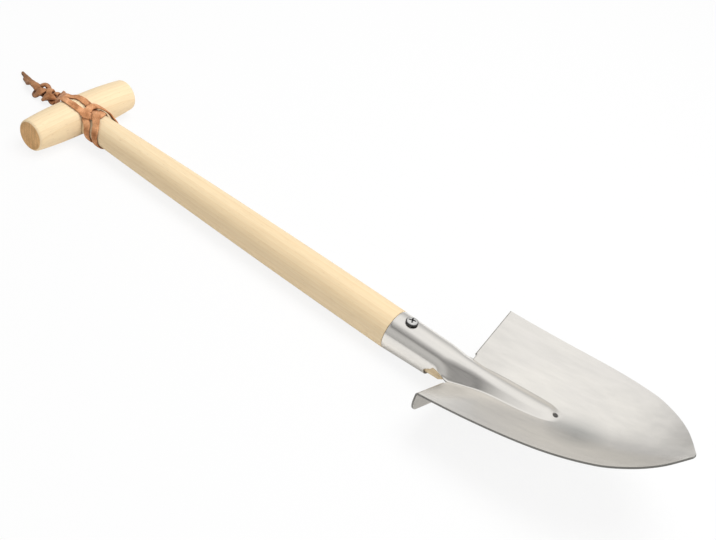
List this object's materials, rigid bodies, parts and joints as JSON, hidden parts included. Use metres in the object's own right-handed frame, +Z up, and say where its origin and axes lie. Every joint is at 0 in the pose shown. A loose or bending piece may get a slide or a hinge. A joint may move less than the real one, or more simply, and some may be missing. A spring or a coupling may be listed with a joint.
{
  "type": "hand spade",
  "caption": "Short digging spade with a turned wooden T-grip and shaft, a pressed steel socket blade with foot treads, and a knotted leather hanging lace.",
  "frame": {"origin": "on the ground under the middle of the tool's length and width, as it lies face up", "axes": "+X along the tool to the blade's tip, +Y across it, +Z up, out of the blade's face"},
  "size_m": [0.5705, 0.1114, 0.0651],
  "materials": {
    "blade_steel": "satin",
    "shaft_wood": "smooth, clear waxed beech",
    "grip_wood": "smooth, clear waxed beech",
    "screw_steel": "zinc plated",
    "lace_leather": "suede"
  },
  "bodies": {
    "root": {"blade_pressing": "blade_steel", "shaft": "shaft_wood", "grip": "grip_wood", "socket_screw": "screw_steel", "lace_winding": "lace_leather", "lace_strand_upper": "lace_leather", "lace_strand_lower": "lace_leather", "lace_knot_near": "lace_leather", "lace_knot_far": "lace_leather", "lace_tail_long": "lace_leather", "lace_tail_short": "lace_leather"}
  },
  "joints": []
}
